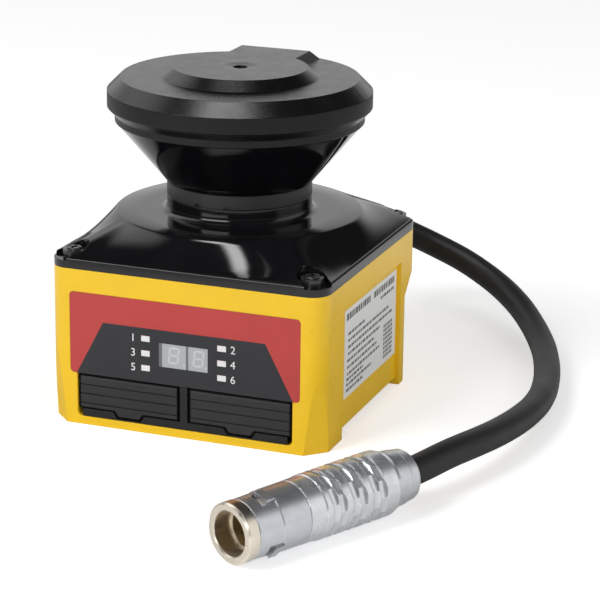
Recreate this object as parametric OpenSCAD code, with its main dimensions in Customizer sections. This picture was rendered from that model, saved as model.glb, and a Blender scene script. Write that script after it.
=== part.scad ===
// Safety laser scanner with a captive cable and a push-pull circular connector.
// Millimetres. Origin at the bottom centre of the housing, +Z up, front towards -Y.

/* [Housing] */
// Width of the housing, left to right
body_w = 80; // [76:1:100]
// Depth of the housing, front to rear
body_d = 80; // [78:1:100]
// Height of the yellow housing up to the cover's seam
housing_h = 44.2; // [44.2:0.1:60]
// Thickness of the housing's side walls
wall = 3.6; // [3.2:0.1:4.4]
// Thickness of the housing floor above the foot gap
floor_t = 2.6; // [2:0.1:3.4]
// Radius of the two front vertical edges
front_corner_r = 5.5; // [3:0.1:7]
// Radius of the two rear vertical edges
rear_corner_r = 7; // [4:0.1:9]
// Length of each foot bar, measured from the front or rear face
foot_len = 15.7; // [12:0.1:17]
// Height of the gap under the housing between the foot bars
foot_gap = 2; // [1:0.1:2.6]
// Depth of the pocket in each side face
pocket_depth = 1.2; // [0.6:0.1:1.6]
// Height of the top edge of the side pockets
pocket_top = 36.8; // [30:0.1:40]
// Depth by which the lower rear face is set back
rear_recess = 6; // [4:0.1:7.4]
// Height at which the lower rear face starts to slope out
rear_recess_z = 25.5; // [22:0.1:27]

/* [Top cover] */
// Height of the cover's straight band
band_h = 3.1; // [2:0.1:4]
// Height of the cover's round plateau above the band
plateau_rise = 7.7; // [6:0.1:10]
// Radius of the cover's plateau
plateau_r = 34.3; // [30:0.1:37]
// Radius of the neck that carries the window
neck_r = 20.2; // [19:0.1:25]
// Height of the glossy part of the neck above the plateau
neck_h = 4.5; // [3:0.1:8]
// Distance between the cover screws, left to right and front to rear
cover_screw_pitch = 69; // [66:0.1:69.4]

/* [Window and cap] */
// Height of the matt ring below the window
ring_h = 3.8; // [3:0.1:6]
// Height of the conical window
window_h = 16.7; // [14:0.1:22]
// Outer radius of the window at its top
window_r = 34; // [30:0.1:41]
// Thickness of the window
window_t = 1.6; // [1.2:0.1:2]
// Height of the ring that holds the top of the window
top_ring_h = 4; // [3:0.1:6]
// Distance by which the cap stands out beyond the window
cap_overhang = 2.6; // [2:0.1:6]
// Height of the cap's straight side
cap_side_h = 4.7; // [3:0.1:8]
// Height and width of the bevel around the cap
cap_bevel = 3.65; // [2:0.05:5]
// Height of the raised disc and fin on the cap
crown_h = 2.65; // [1.5:0.05:4]
// Radius of the raised disc at its top
crown_r = 18.6; // [17:0.1:22]
// Width of the fin at its top
fin_w = 20.6; // [14:0.1:26]

/* [Front panel] */
// Distance from the housing's side to the hatch bay
bay_margin = 8.5; // [7.5:0.1:12]
// Height of the hatch bay's lower edge
bay_z = 2.3; // [2:0.1:3]
// Height of the hatch bay
bay_h = 12.4; // [12:0.1:18]
// Depth of the hatch frame that fills the bay
bay_depth = 13.5; // [11:0.1:16]
// Thickness of each hatch plate
hatch_t = 1.9; // [1.6:0.1:2.2]
// Distance from the housing's side to the front label
label_margin = 6.5; // [6:0.1:12]
// Height of the front label
label_h = 23.1; // [20:0.1:24]
// Width of the two-digit display window
display_w = 14.9; // [12:0.1:18]
// Height of the display window
display_h = 7; // [6:0.1:8]

/* [Cable and connector] */
// Diameter of the cable
cable_d = 7.7; // [5:0.1:9.3]
// Height of the cable outlet in the rear face
outlet_z = 37.8; // [37:0.1:39]
// Length of the tapered strain relief
relief_len = 20; // [20:1:30]
// Radius of the connector's grip at its widest
grip_r = 8.6; // [8.4:0.1:10]
// Length of the connector
connector_len = 58; // [56:0.5:66]
// Number of scallops around each half row of the grip
grip_scallops = 12; // [8:1:14]

/* [Scanner head] */
// Radius of the rotating mirror's holder
mirror_r = 11.5; // [9:0.1:13]
// Radius of the motor's rotor bell
rotor_r = 15.8; // [15:0.1:18]
// Radius of the motor spindle
spindle_r = 1.97; // [1.5:0.01:2.5]
// Number of slots in the encoder disc
encoder_slots = 24; // [12:1:36]

/* [Hidden] */
$fn = 64;
eps = 0.01;
// Gap between pieces that slide past or drop into each other
fit_gap = 0.1;

// Heights of the seams, from the floor up
band_z = housing_h + band_h;
plateau_z = band_z + plateau_rise;
neck_z = plateau_z + neck_h;
window_z = neck_z + ring_h;
top_ring_z = window_z + window_h;
cap_z = top_ring_z + top_ring_h;
cap_bevel_z = cap_z + cap_side_h;
cap_roof_z = cap_bevel_z + cap_bevel;
crown_z = cap_roof_z + crown_h;

// Housing
half_w = body_w / 2;
half_d = body_d / 2;
slope_top_z = rear_recess_z + rear_recess;
rear_low_y = half_d - rear_recess;
floor_z = foot_gap + floor_t;
cavity_front_y = -half_d + bay_depth + 0.3;
cavity_bay_top = bay_z + bay_h + 1.8;
cavity_half_w = half_w - wall;
bracket_hole_r = 1.65;
bracket_hole_depth = 7;
bracket_pitch_x = 56;
bracket_pitch_z = 12;
bracket_z = 15;
bracket_boss_r = 4;
screw_hole_r = 1.55;
boss_r = 3.4;

// Cover
cover_wall = 2.6;
cover_floor_t = 2.1;
screw_pocket_r = 4.1;
neck_wall = 2.8;
neck_fillet = 1.8;
neck_bore_r = neck_r - neck_wall;
// Exponent that hollows the slopes, and height of the plateau's rounded shoulder
slope_power = 0.8;
shoulder = 0.7;
gasket_inset = 1.1;
// Lower edge of the side's rating label
rating_z = 9.9;
gasket_w = 1;
gasket_h = 0.8;

// Front panel
bay_half_w = half_w - bay_margin;
bay_top = bay_z + bay_h;
post_half_w = 1.1;
lip_top = bay_z + 2.2;
hatch_top = bay_top - 0.2;
hatch_bottom = lip_top + 0.2;
hatch_h = hatch_top - hatch_bottom;
hatch_face_y = -half_d + 0.2;
hinge_r = 1.2;
hinge_y = hatch_face_y + hinge_r;
hinge_z = hatch_top - hinge_r;
trunnion_r = 0.6;
trunnion_gap = 0.05;
trunnion_len = 0.6;
hatch_gap = 0.5;
hatch_x0 = post_half_w + hatch_gap;
hatch_x1 = bay_half_w - hatch_gap;
hatch_mid = (hatch_x0 + hatch_x1) / 2;
tab_top_w = 8.8;
tab_bottom_w = 6.6;
tab_drop = 1.6;
tab_t = 1.4;
notch_gap = 0.35;
frame_face_y = hatch_face_y + hatch_t + 1;
frame_rear_y = -half_d + bay_depth;
frame_wall = 1.2;
label_t = 0.3;
label_half_w = half_w - label_margin;
label_z = bay_top + 0.05;
label_r = 1.2;
led_w = 2.6;
led_h = 1.7;
led_x = 11.1;
led_z = label_z + 3.9;
led_pitch = 4.17;
display_z = label_z + 8.25;
display_board_y = -half_d + wall + 1.4;
display_board_half_w = 28;
display_board_z = cavity_bay_top + 0.7;
display_board_h = 17;
board_t = 1.6;

// Electronics
main_board_z = floor_z + 3.4;
power_board_z = main_board_z + board_t + 14.4;
board_half_w = cavity_half_w - 3.4;
board_front_y = cavity_front_y + 1.7;
board_rear_y = rear_low_y - wall - 6.4;
stack_x = board_half_w - 5;
stack_y0 = board_front_y + 8;
stack_y1 = board_rear_y - 4;
socket_front_y = frame_rear_y - 4.5;

// Scanner head
cap_r = window_r + cap_overhang;
ring_flare = 1.9;
roof_z = cap_roof_z - 2;
motor_top_z = crown_z - 2.5;
motor_flange_t = 2.2;
motor_tube_r = 6;
bearing_r = 4.5;
bearing_h = 4;
bearing_gap = 0.05;
bell_z = top_ring_z - 0.4;
bell_top_z = roof_z - 0.6;
bell_plate = 1.6;
mirror_z = window_z + 7.2;
mirror_t = 1.2;
barrel_r = neck_bore_r - 0.4;
barrel_wall = 1.9;
barrel_top_z = mirror_z - mirror_r - 1.6;
lens_h = 4.6;

// Cable outlet
gland_r = 5.9;
gland_flange_t = 2.2;
gland_thread_r = cable_d / 2 + 0.5;
gland_nut_r = gland_thread_r + 1.2;
relief_y = half_d + gland_flange_t;
// Lower edge of the wall's upper, deeper part, clear of the gland's nut
rear_shelf_z = min(slope_top_z + 1.5, outlet_z - gland_nut_r * cos(30) - 0.12);

// Connector: heading and rise of its axis from the mouth to the cable
heading = 63;
rise = 0.45;
connector_axis = [cos(rise) * cos(heading), cos(rise) * sin(heading), sin(rise)];
cable_end = [70.3, half_d - 103.5, grip_r + 0.15];
tip = cable_end - connector_len * connector_axis;
ring_len = 3.5;
mouth_r = 5.6;
core_r = 6.6;
shell_bore_r = 7;
shell_end = 19.6;
sleeve_end = connector_len - 8;
nut_start = connector_len - 11.8;
nut_r = 7.4;
release_travel = 1.5;
// Angle of the first latch finger around the connector
latch_turn = 192;
// Width of a latch finger and its height from the connector's axis
latch_w = 4.6;
latch_r = 8.2;
// Cutter radius, depth and half-row spacing of the grip's scallops, and where they start
scallop_r = 2.2;
scallop_depth = 0.55;
scallop_step = 2.5;
scallop_turn = -1;

// Centre line of the cable between its straight ends, for the 80 mm deep housing
CABLE_BENDS = [[2.9, 79.9, 35.5], [8.3, 88.4, 31.7], [16.1, 94.7, 26.9], [26.5, 98.1, 21.7], [37.8, 97.6, 17],
    [49.1, 92.8, 12.4], [58.2, 85.3, 8.9], [65.6, 75.4, 6.2], [71.9, 63.5, 4.6], [76.3, 52.2, 4],
    [80, 39.7, 3.9], [82.8, 27.3, 4.2], [84.7, 15.1, 4.9], [85.4, 3.2, 5.7], [85, -9.2, 6.7],
    [83.7, -21, 7.7], [81.4, -32.5, 8.6], [77.2, -46.6, 9.3]];
cable_start = [0, relief_y + relief_len, outlet_z];

// Whole centre line, lifted where needed so that the cable stays above the floor
CABLE_ROUTE = [cable_start, cable_start + [0, 5, 0],
    for (p = CABLE_BENDS) [p.x, p.y + half_d - 40, max(p.z, cable_d / 2 + 0.05)],
    cable_end + 5 * connector_axis, cable_end];

yellow = [0.98, 0.78, 0.16];
gloss_black = [0.05, 0.05, 0.06];
satin_black = [0.12, 0.12, 0.13];
charcoal = [0.2, 0.2, 0.21];
chrome = [0.8, 0.81, 0.83];

// Plan outline with its own front and rear corner radii
module plan(w, y0, y1, rf, rr) {
    translate([-w / 2, y0 + rf]) square([w, y1 - y0 - rf - rr]);
    translate([-w / 2 + rf, y0]) square([w - 2 * rf, rf + eps]);
    translate([-w / 2 + rr, y1 - rr - eps]) square([w - 2 * rr, rr + eps]);
    for (side = [-1, 1]) {
        translate([side * (w / 2 - rf), y0 + rf]) circle(rf);
        translate([side * (w / 2 - rr), y1 - rr]) circle(rr);
    }
}

// The housing's outline, drawn in by inset, up to the given rear face
module body_plan(rear_y, inset = 0) {
    plan(body_w - 2 * inset, -half_d + inset, rear_y - inset,
        max(front_corner_r - inset, 0.5), max(rear_corner_r - inset, 0.5));
}

// Box between two opposite corners
module block(a, b) {
    translate(a) cube(b - a);
}

// Cylinder along +Y from y0 to y1
module rod_y(r, x, z, y0, y1) {
    translate([x, y0, z]) rotate([-90, 0, 0]) cylinder(r = r, h = y1 - y0);
}

// Cylinder along +X from x0 to x1
module rod_x(r, y, z, x0, x1) {
    translate([x0, y, z]) rotate([0, 90, 0]) cylinder(r = r, h = x1 - x0);
}

module tube(r_out, r_in, z0, z1) {
    translate([0, 0, z0]) difference() {
        cylinder(r = r_out, h = z1 - z0);
        translate([0, 0, -1]) cylinder(r = r_in, h = z1 - z0 + 2);
    }
}

// Children at the four cover screws
module at_cover_screws() {
    for (x = [-1, 1], y = [-1, 1])
        translate([x, y, 0] * cover_screw_pitch / 2) children();
}

// Children at the four rear bracket holes, +Z pointing out of the hole
module at_bracket_holes() {
    for (x = [-1, 1], z = [-1, 1])
        translate([x * bracket_pitch_x / 2, rear_low_y, bracket_z + z * bracket_pitch_z / 2])
            rotate([-90, 0, 0]) children();
}

// Children at the four pillars of the board stack
module at_stack() {
    for (x = [-stack_x, stack_x], y = [stack_y0, stack_y1])
        translate([x, y, 0]) children();
}

// Children at the six status lights
module at_leds() {
    for (side = [-1, 1], row = [0:2])
        translate([side * led_x, 0, led_z + row * led_pitch]) children();
}

// Children at the four screws of the display board
module at_display_screws() {
    for (side = [-1, 1], z = [display_board_z + 3, display_board_z + display_board_h - 3])
        translate([side * (display_board_half_w - 3), 0, z]) children();
}

module housing_outside() {
    linear_extrude(rear_recess_z) body_plan(rear_low_y);
    hull() {
        translate([0, 0, rear_recess_z - 0.2]) linear_extrude(0.2) body_plan(rear_low_y);
        translate([0, 0, slope_top_z]) linear_extrude(0.2) body_plan(half_d);
    }
    translate([0, 0, slope_top_z]) linear_extrude(housing_h - slope_top_z) body_plan(half_d);
}

module housing_cavity() {
    top = housing_h + 1;
    translate([0, 0, floor_z]) linear_extrude(top - floor_z)
        plan(2 * cavity_half_w, cavity_front_y, rear_low_y - wall, 2, 3.4);
    translate([0, 0, cavity_bay_top]) linear_extrude(top - cavity_bay_top)
        plan(2 * cavity_half_w, -half_d + wall, rear_low_y - wall, 2, 3.4);
    translate([0, 0, rear_shelf_z]) linear_extrude(top - rear_shelf_z)
        plan(2 * cavity_half_w, -half_d + wall, half_d - wall, 2, 3.4);
}

// Slanting flat that trims the foot of a front corner
module corner_flat(side) {
    reach = (half_w - front_corner_r) * sqrt(2) + front_corner_r * cos(45) + 0.05;
    scale([side, 1, 1]) rotate([0, 0, -45]) rotate([0, 4, 0])
        translate([reach + (half_d - half_w) / 2 * sqrt(2), -15, -5]) cube([20, 30, 40]);
}

module base_housing() color(yellow) difference() {
    union() {
        difference() {
            housing_outside();
            housing_cavity();
        }
        intersection() {
            translate([0, 0, slope_top_z + 2]) linear_extrude(housing_h - slope_top_z - 2)
                body_plan(half_d, 1);
            at_cover_screws() cylinder(r = boss_r, h = housing_h);
        }
        at_bracket_holes() translate([0, 0, -bracket_hole_depth - 1.5])
            cylinder(r = bracket_boss_r, h = bracket_hole_depth);
        at_stack() translate([0, 0, floor_z - 1]) cylinder(r = 3, h = main_board_z - floor_z + 1);
        intersection() {
            at_display_screws() rod_y(2.2, 0, 0, -half_d + 1, display_board_y);
            block([-half_w, -half_d + 1, cavity_bay_top - 2], [half_w, 0, housing_h]);
        }
    }
    // Gap between the foot bars, and the pockets in both sides
    block([-half_w - 1, -half_d + foot_len, -1], [half_w + 1, half_d - foot_len, foot_gap]);
    for (side = [-1, 1]) scale([side, 1, 1])
        block([half_w - pocket_depth, -half_d + foot_len, -1], [half_w + 1, half_d - foot_len, pocket_top]);
    for (side = [-1, 1]) corner_flat(side);
    // Hatch bay with rounded lower corners, and the seats of the hatch trunnions
    translate([0, cavity_front_y + 1, 0]) rotate([90, 0, 0])
        linear_extrude(half_d + cavity_front_y + 2) union() {
            translate([-bay_half_w, bay_z + 1.5]) square([2 * bay_half_w, bay_h - 1.5]);
            translate([-bay_half_w + 1.5, bay_z]) square([2 * bay_half_w - 3, 2]);
            for (side = [-1, 1]) translate([side * (bay_half_w - 1.5), bay_z + 1.5]) circle(1.5);
        }
    rod_x(trunnion_r + trunnion_gap, hinge_y, hinge_z, -bay_half_w - 0.9, bay_half_w + 0.9);
    // Recess for the front label, openings for the lights and the display
    translate([0, -half_d + label_t, 0]) rotate([90, 0, 0]) linear_extrude(1) label_outline(0.05);
    at_leds() block([-led_w / 2 - 0.1, -half_d - 1, -led_h / 2 - 0.1],
        [led_w / 2 + 0.1, cavity_front_y - 4, led_h / 2 + 0.1]);
    block([-display_w / 2, -half_d - 1, display_z - display_h / 2],
        [display_w / 2, -half_d + wall + 1, display_z + display_h / 2]);
    at_display_screws() rod_y(0.8, 0, 0, -half_d + 1.5, display_board_y + 1);
    // Cable outlet, screw holes and gasket groove
    rod_y(gland_thread_r + 0.05, 0, outlet_z, half_d - wall - 1, half_d + 1);
    at_cover_screws() translate([0, 0, housing_h - 9]) cylinder(r = screw_hole_r, h = 10);
    at_bracket_holes() translate([0, 0, -bracket_hole_depth]) cylinder(r = bracket_hole_r, h = 10);
    at_stack() translate([0, 0, floor_z]) cylinder(r = 1.3, h = 10);
    translate([0, 0, housing_h - gasket_h]) linear_extrude(gasket_h + 1) difference() {
        body_plan(half_d, gasket_inset);
        body_plan(half_d, gasket_inset + gasket_w + 0.1);
    }
}

module cover_gasket() color(charcoal)
    translate([0, 0, housing_h - gasket_h]) linear_extrude(gasket_h) difference() {
        body_plan(half_d, gasket_inset + 0.05);
        body_plan(half_d, gasket_inset + gasket_w + 0.05);
    }

// Distance from the centre to the housing's outline in direction a
function outline_r(a) = let(
        rc = sin(a) < 0 ? front_corner_r : rear_corner_r,
        c = abs(cos(a)),
        s = abs(sin(a)),
        kx = half_w - rc,
        ky = half_d - rc,
        straight = min(half_w / max(c, 0.001), half_d / max(s, 0.001)),
        m = kx * c + ky * s)
    straight * c > kx && straight * s > ky ? m + sqrt(m * m - kx * kx - ky * ky + rc * rc) : straight;

// Ring part-way from the housing's outline (blend 0) to the plateau's circle (blend 1)
function cover_ring(blend, z, steps = 72) = [for (k = [0:steps - 1])
    let(a = 360 * (k + 0.5) / steps, r = outline_r(a) * (1 - blend) + plateau_r * blend)
    [r * cos(a), r * sin(a), z]];

// Solid skin over a stack of rings that have the same number of points
module skin(rings) {
    sides = len(rings[0]);
    last = len(rings) - 1;
    walls = [for (i = [0:last - 1], k = [0:sides - 1]) let(a = i * sides + k, b = i * sides + (k + 1) % sides)
        each [[a, b + sides, b], [a, a + sides, b + sides]]];
    low_cap = [for (k = [0:sides - 1]) k];
    high_cap = [for (k = [sides - 1:-1:0]) last * sides + k];
    polyhedron([for (ring = rings) each ring], concat(walls, [low_cap], [high_cap]), convexity = 8);
}

module top_cover() color(gloss_black) difference() {
    union() {
        translate([0, 0, housing_h]) linear_extrude(band_h) body_plan(half_d);
        // Hollow slopes that flow from the square band, where they start inside it, to the round plateau
        skin([cover_ring(0.3, band_z - 0.5), for (t = [0:0.2:1])
            cover_ring(max(pow(t, slope_power), 0.012), band_z + t * (plateau_rise - shoulder - 0.1))]);
        translate([0, 0, plateau_z]) rotate_extrude()
            polygon([[0, -shoulder - 1], [plateau_r + 0.05, -shoulder - 1], [plateau_r + 0.05, -shoulder],
                [plateau_r - 0.3, -0.4], [plateau_r - 1, -0.15], [plateau_r - 2.4, 0], [0, 0]]);
        // Neck, flared where it meets the plateau
        translate([0, 0, plateau_z - 1]) rotate_extrude() difference() {
            translate([neck_r - 2, 0]) square([2 + neck_fillet, neck_fillet + 1]);
            translate([neck_r + neck_fillet, neck_fillet + 1]) circle(neck_fillet);
        }
        translate([0, 0, plateau_z - 1]) cylinder(r = neck_r, h = neck_h + 1);
    }
    translate([0, 0, housing_h - eps])
        cylinder(r1 = half_w - wall, r2 = plateau_r - 3.4, h = plateau_z - cover_wall - housing_h);
    cylinder(r = neck_bore_r, h = crown_z);
    at_cover_screws() cylinder(r = screw_hole_r + 0.15, h = crown_z);
    // Screw pockets, open towards the corners
    for (x = [-1, 1], y = [-1, 1])
        translate([x, y, 0] * cover_screw_pitch / 2 + [0, 0, housing_h + cover_floor_t]) {
            cylinder(r = screw_pocket_r, h = 20);
            rotate([0, 0, atan2(y, x)]) translate([0, -screw_pocket_r + 0.15, 0])
                cube([20, 2 * screw_pocket_r - 0.3, 20]);
        }
}

module cover_screws() color("silver") at_cover_screws() translate([0, 0, housing_h + cover_floor_t]) difference() {
    union() {
        translate([0, 0, -10]) cylinder(r = screw_hole_r - 0.1, h = 11);
        cylinder(r = 2.9, h = 0.7);
        rotate_extrude() {
            translate([0, 0.7]) square([3.1, 1.2]);
            difference() {
                translate([0, 1.8]) square([2.5, 0.7]);
                translate([2.5, 2.5]) circle(0.6);
            }
        }
    }
    for (turn = [0, 90]) rotate([0, 0, turn]) translate([-1.7, -0.35, 1.6]) cube([3.4, 0.7, 2]);
}

module window_base_ring() color(charcoal) difference() {
    tube(neck_r, neck_bore_r, neck_z, window_z);
    for (turn = [-12, 12]) rotate([0, 0, turn]) translate([-0.9, -neck_r - 1, neck_z - eps]) cube([1.8, 1.6, 0.8]);
}

// Half section of the window's cone, thickened by extra on its outside
module window_section(extra, t) {
    polygon([[neck_r + extra, window_z], [window_r + extra, top_ring_z],
        [window_r + extra - t, top_ring_z], [neck_r + extra - t, window_z]]);
}

// Wedge that spans the angle of the rear pillar
module pillar_wedge(gap = 0) {
    reach = cap_r + 4;
    translate([0, gap, window_z - 1]) linear_extrude(window_h + 2)
        polygon([[0, 0], [reach, reach], [-reach, reach]]);
}

module optical_window() color([0.04, 0.04, 0.05, 0.9]) difference() {
    rotate_extrude() window_section(0, window_t);
    pillar_wedge();
}

// Ring around the top of the window
module top_ring() {
    rotate_extrude() polygon([[window_r - 1.4, top_ring_z], [window_r + 0.2, top_ring_z],
        [window_r + 0.5, top_ring_z + 0.3], [window_r + 0.5, cap_z - ring_flare],
        [cap_r - 0.4, cap_z], [window_r - 1.4, cap_z]]);
}

module window_top_ring() color(satin_black) intersection() {
    top_ring();
    block([-cap_r, -cap_r, top_ring_z - 1], [cap_r, 0, cap_z + 1]);
}

module rear_pillar() color(satin_black) {
    intersection() {
        top_ring();
        block([-cap_r, 0.3, top_ring_z - 1], [cap_r, cap_r, cap_z + 1]);
    }
    intersection() {
        rotate_extrude() window_section(0.6, window_t + 2.2);
        pillar_wedge(0.2);
    }
}

module cap_fin() {
    slope = 2;
    reach = cap_r - cap_bevel - 3;
    base_z = cap_roof_z - 1;
    rise_h = crown_z - base_z;
    intersection() {
        translate([0, cap_r, base_z]) rotate([90, 0, 0]) linear_extrude(cap_r)
            polygon([[-fin_w / 2 - slope, 0], [fin_w / 2 + slope, 0], [fin_w / 2 + slope, 1],
                [fin_w / 2, rise_h], [-fin_w / 2, rise_h], [-fin_w / 2 - slope, 1]]);
        translate([-cap_r, 0, base_z]) rotate([90, 0, 90]) linear_extrude(2 * cap_r)
            polygon([[0, 0], [reach, 0], [reach, 1], [reach - 3, rise_h], [0, rise_h]]);
    }
}

module top_cap() color(satin_black) difference() {
    union() {
        rotate_extrude() polygon([[0, cap_z], [cap_r - 0.4, cap_z], [cap_r, cap_z + 0.4],
            [cap_r, cap_bevel_z], [cap_r - cap_bevel, cap_roof_z], [crown_r + 3.2, cap_roof_z],
            [crown_r, crown_z], [0, crown_z]]);
        cap_fin();
    }
    rotate_extrude() polygon([[0, cap_z - 1], [cap_r - 2.4, cap_z - 1], [cap_r - 2.4, cap_bevel_z - 0.8],
        [cap_r - cap_bevel - 1.2, roof_z], [rotor_r + 0.4, roof_z], [rotor_r + 0.4, motor_top_z + 0.1],
        [0, motor_top_z + 0.1]]);
    // Dished centre mark
    translate([0, 0, crown_z + 39.7]) sphere(r = 40);
    translate([0, 0, crown_z - 1]) cylinder(r = 2, h = 2);
}

module label_outline(extra = 0) {
    w = label_half_w + extra;
    r = label_r;
    h = label_h + 2 * extra;
    translate([0, label_z - extra]) {
        translate([-w + r, 0]) square([2 * w - 2 * r, h]);
        translate([-w, r]) square([2 * w, h - 2 * r]);
        for (side = [-1, 1], y = [r, h - r]) translate([side * (w - r), y]) circle(r);
    }
}

module front_label() color([0.77, 0.28, 0.26]) difference() {
    translate([0, -half_d + label_t, 0]) rotate([90, 0, 0]) linear_extrude(label_t) label_outline();
    at_leds() block([-led_w / 2, -half_d - 1, -led_h / 2], [led_w / 2, -half_d + 1, led_h / 2]);
    block([-display_w / 2, -half_d - 1, display_z - display_h / 2],
        [display_w / 2, -half_d + 1, display_z + display_h / 2]);
}

module led_light_pipes() color("white") at_leds() {
    block([-led_w / 2 + 0.05, -half_d + 0.05, -led_h / 2 + 0.05],
        [led_w / 2 - 0.05, -half_d + wall + 0.2, led_h / 2 - 0.05]);
    block([-led_w / 2 - 0.5, -half_d + wall + 0.2, -led_h / 2 - 0.4],
        [led_w / 2 + 0.5, display_board_y, led_h / 2 + 0.4]);
}

module display_window() color([0.25, 0.25, 0.27, 0.7])
    block([-display_w / 2 + 0.05, -half_d + 0.05, display_z - display_h / 2 + 0.05],
        [display_w / 2 - 0.05, -half_d + 0.85, display_z + display_h / 2 - 0.05]);

module display_digits() color([0.75, 0.76, 0.78]) for (side = [-1, 1]) {
    digit_w = display_w / 2 - 0.4;
    translate([side * (display_w / 4), 0, display_z])
        block([-digit_w / 2, -half_d + 0.9, -display_h / 2 + 0.2],
            [digit_w / 2, display_board_y, display_h / 2 - 0.2]);
}

module display_board() color("darkgreen") difference() {
    block([-display_board_half_w, display_board_y, display_board_z],
        [display_board_half_w, display_board_y + board_t, display_board_z + display_board_h]);
    at_display_screws() rod_y(1, 0, 0, display_board_y - 1, display_board_y + 3);
}

module display_screws() color("silver") at_display_screws() {
    rod_y(0.75, 0, 0, -half_d + 2, display_board_y + board_t + 0.5);
    rod_y(1.7, 0, 0, display_board_y + board_t, display_board_y + board_t + 1);
}

// Outline of a hatch's finger tab, seen from the front, up to the given height
module finger_tab(top) {
    low = hatch_bottom - tab_drop;
    grow = (tab_top_w - tab_bottom_w) / 2 * (top - low) / tab_drop;
    polygon([[-tab_bottom_w / 2 - grow, top], [-tab_bottom_w / 2, low],
        [tab_bottom_w / 2, low], [tab_bottom_w / 2 + grow, top]]);
}

// Frame that divides the hatch bay in two and holds the inner hatch trunnions
module hatch_frame() color(satin_black) difference() {
    union() {
        block([-bay_half_w + fit_gap, frame_face_y, bay_z + fit_gap],
            [bay_half_w - fit_gap, frame_rear_y, bay_top - fit_gap]);
        block([-post_half_w, hatch_face_y, bay_z + fit_gap], [post_half_w, frame_face_y + 1, bay_top - fit_gap]);
        block([-bay_half_w + 1.5, hatch_face_y, bay_z + fit_gap], [bay_half_w - 1.5, frame_face_y + 1, lip_top]);
    }
    for (side = [-1, 1]) scale([side, 1, 1]) {
        // Socket bay, open to the front
        block([post_half_w + 0.4, frame_face_y - 5, lip_top + eps],
            [bay_half_w - frame_wall, frame_rear_y - 1.5, bay_top - frame_wall]);
        // Finger notch around the hatch tab
        translate([hatch_mid, frame_face_y, 0]) rotate([90, 0, 0]) linear_extrude(6)
            offset(delta = notch_gap) finger_tab(lip_top + 1);
    }
    for (side = [-1, 1]) scale([side, 1, 1]) block([bay_half_w - 1.6, frame_face_y - 1, bay_z],
        [bay_half_w + 1, frame_rear_y + 1, bay_z + 1.6]);
    rod_x(trunnion_r + trunnion_gap, hinge_y, hinge_z, -post_half_w - 1, post_half_w + 1);
    // Openings for the two sockets
    block([-hatch_mid - 4.3, frame_rear_y - 3, main_board_z + board_t - 0.3],
        [-hatch_mid + 4.3, frame_rear_y + 1, main_board_z + board_t + 3.2]);
    block([hatch_mid - 7.3, frame_rear_y - 3, main_board_z + board_t - 0.3],
        [hatch_mid + 7.3, frame_rear_y + 1, main_board_z + board_t + 3.6]);
}

// Hatch on the +X side; the left one is its mirror image
module hatch() difference() {
    union() {
        block([hatch_x0, hatch_face_y, hatch_bottom], [hatch_x1, hatch_face_y + hatch_t, hinge_z]);
        rod_x(hinge_r, hinge_y, hinge_z, hatch_x0, hatch_x1);
        rod_x(trunnion_r, hinge_y, hinge_z,
            hatch_x0 - hatch_gap - trunnion_len, hatch_x1 + hatch_gap + trunnion_len);
        // Finger tab
        translate([hatch_mid, hatch_face_y + tab_t, 0]) rotate([90, 0, 0]) linear_extrude(tab_t)
            finger_tab(hatch_bottom + eps);
    }
    // Cross grooves
    for (z = [0.153, 0.434, 0.699] * hatch_h) block([hatch_x0 - 1, hatch_face_y - 1, hatch_bottom + z - 0.15],
        [hatch_x1 + 1, hatch_face_y + 0.25, hatch_bottom + z + 0.15]);
}

module left_hatch() color(charcoal) scale([-1, 1, 1]) hatch();

module right_hatch() color(charcoal) hatch();

// Rubber rim on the back of a hatch
module hatch_seal() difference() {
    block([hatch_x0 + 2, hatch_face_y + hatch_t, hatch_bottom + 0.8],
        [hatch_x1 - 2, frame_face_y - 0.2, hinge_z - 1.8]);
    block([hatch_x0 + 3, hatch_face_y, hatch_bottom + 1.8], [hatch_x1 - 3, frame_face_y + 1, hinge_z - 2.8]);
}

module left_hatch_seal() color("black") scale([-1, 1, 1]) hatch_seal();

module right_hatch_seal() color("black") hatch_seal();

module board_socket(x, w, h) {
    z0 = main_board_z + board_t;
    difference() {
        block([x - w / 2, socket_front_y, z0], [x + w / 2, board_front_y + 5, z0 + h]);
        block([x - w / 2 + 0.5, socket_front_y - 1, z0 + 0.5],
            [x + w / 2 - 0.5, socket_front_y + 5, z0 + h - 0.5]);
        block([x - w / 2 - 1, socket_front_y - 1, z0 - 1], [x + w / 2 + 1, board_front_y, z0 + eps]);
    }
}

module usb_socket() color("silver") board_socket(-hatch_mid, 8, 2.8);

module service_socket() color("ivory") {
    board_socket(hatch_mid, 14, 3.2);
    for (k = [-3:3]) block([hatch_mid + k * 1.6 - 0.25, socket_front_y + 1.5, main_board_z + board_t + 1.3],
        [hatch_mid + k * 1.6 + 0.25, socket_front_y + 5.5, main_board_z + board_t + 1.9]);
}

module stack_board(z) difference() {
    block([-board_half_w, board_front_y, z], [board_half_w, board_rear_y, z + board_t]);
    at_stack() translate([0, 0, z - 1]) cylinder(r = 1.4, h = board_t + 2);
}

module main_board() color("darkgreen") {
    stack_board(main_board_z);
    for (x = [-14, 0, 14])
        block([x - 4, 0, main_board_z + board_t - eps], [x + 4, 8, main_board_z + board_t + 1.4]);
}

module board_spacers() color("gold") at_stack() translate([0, 0, main_board_z + board_t]) difference() {
    cylinder(r = 2.8, h = power_board_z - main_board_z - board_t, $fn = 6);
    translate([0, 0, -1]) cylinder(r = 1.3, h = 20);
}

module power_board() color("darkgreen") difference() {
    stack_board(power_board_z);
    translate([0, 0, power_board_z - 1]) cylinder(r = 6, h = 5);
}

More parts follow.
